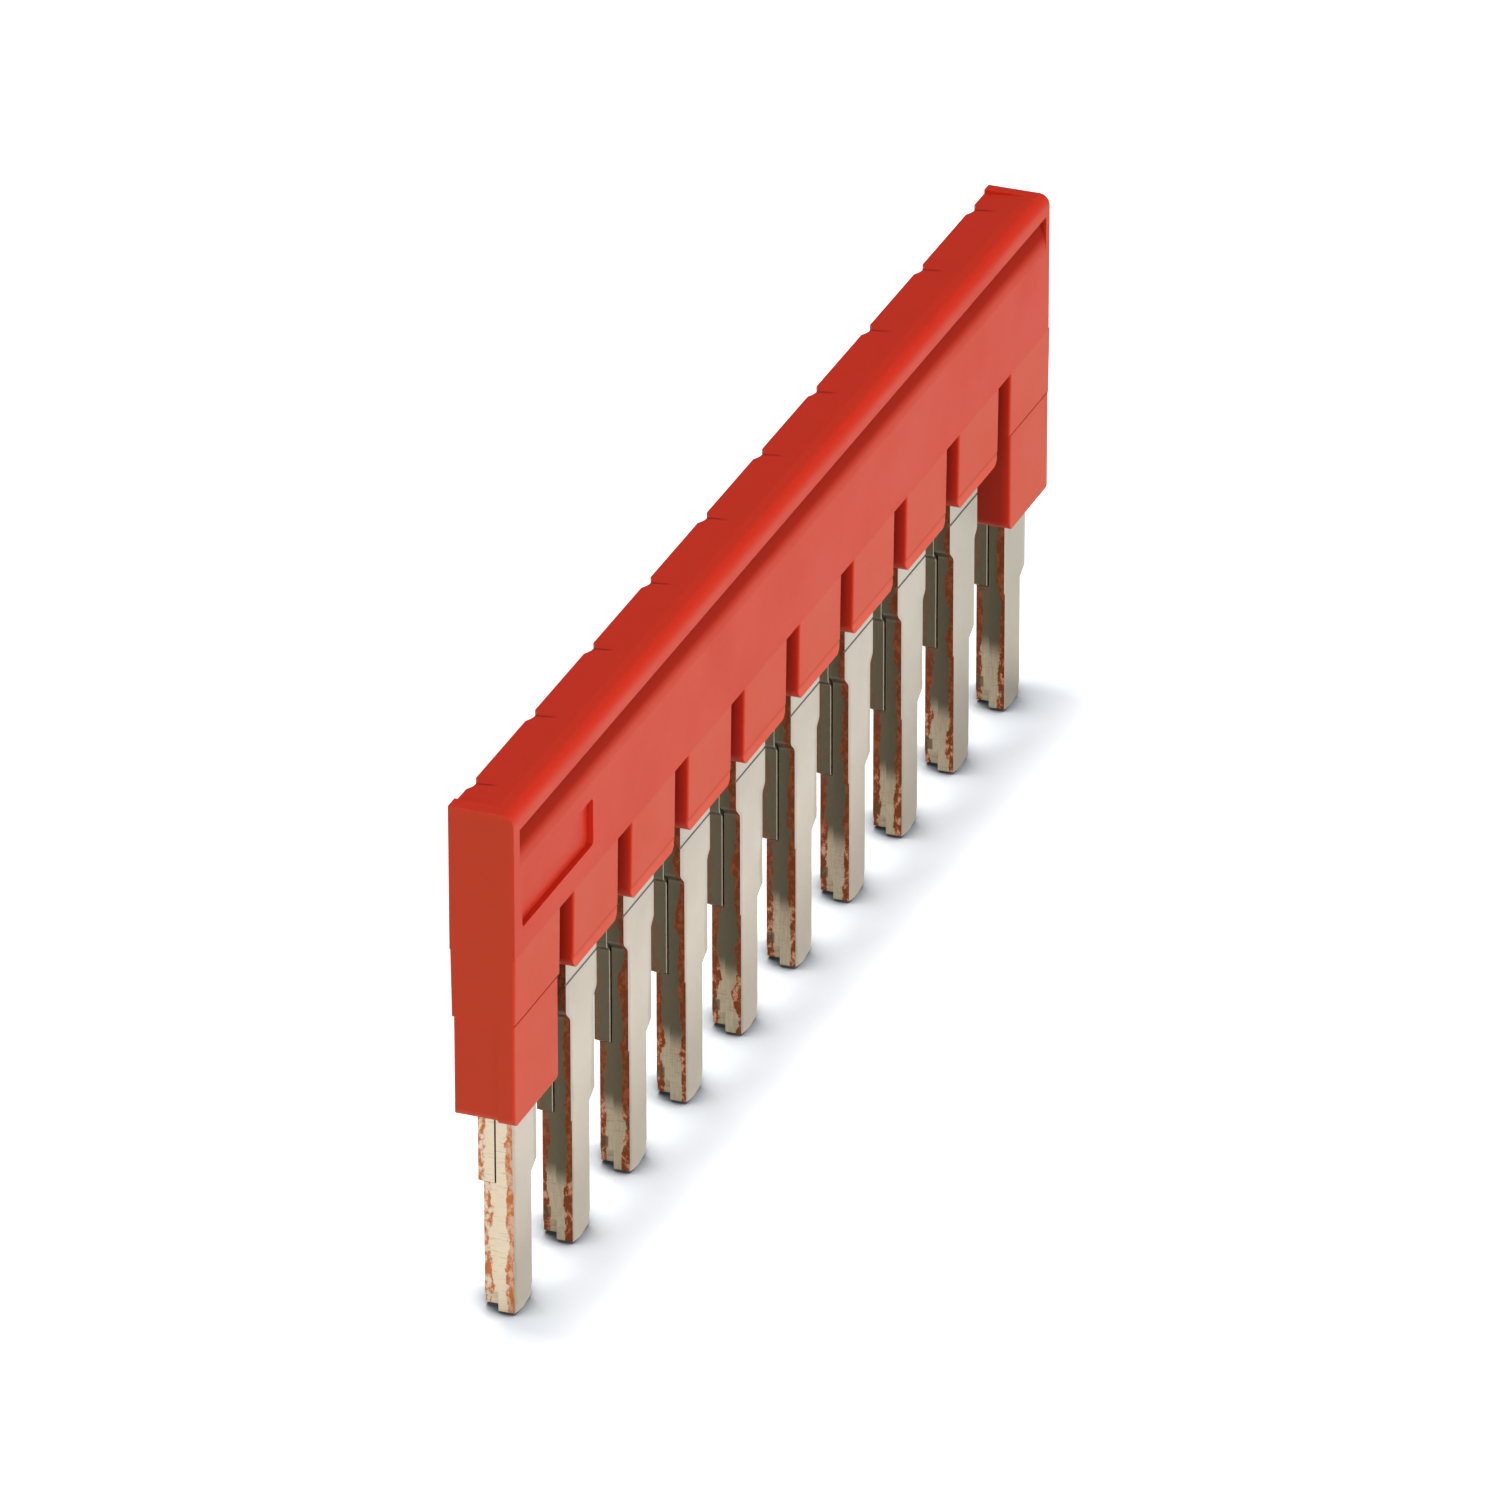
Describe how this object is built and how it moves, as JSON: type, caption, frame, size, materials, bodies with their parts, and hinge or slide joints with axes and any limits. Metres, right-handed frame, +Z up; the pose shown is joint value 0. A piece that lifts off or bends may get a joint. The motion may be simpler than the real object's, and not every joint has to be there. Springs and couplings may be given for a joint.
{
  "type": "terminal block jumper",
  "caption": "Plug-in jumper bar for a row of terminal blocks: a slim moulded housing over stamped metal combs whose flat legs stand out below.",
  "frame": {"origin": "under the middle of the row of legs, level with their tips, on the plane between the two combs", "axes": "+X along the row of legs, +Y through the thickness away from the gripped face, +Z up from the leg tips to the top of the housing"},
  "size_m": [0.0606, 0.0028, 0.0228],
  "materials": {
    "red_plastic": "satin moulded polyamide",
    "tinned_copper": "tin plated broad faces, bare copper on the cut edges"
  },
  "bodies": {
    "root": {"housing": "red_plastic", "front_comb": "tinned_copper", "rear_comb": "tinned_copper"}
  },
  "joints": []
}
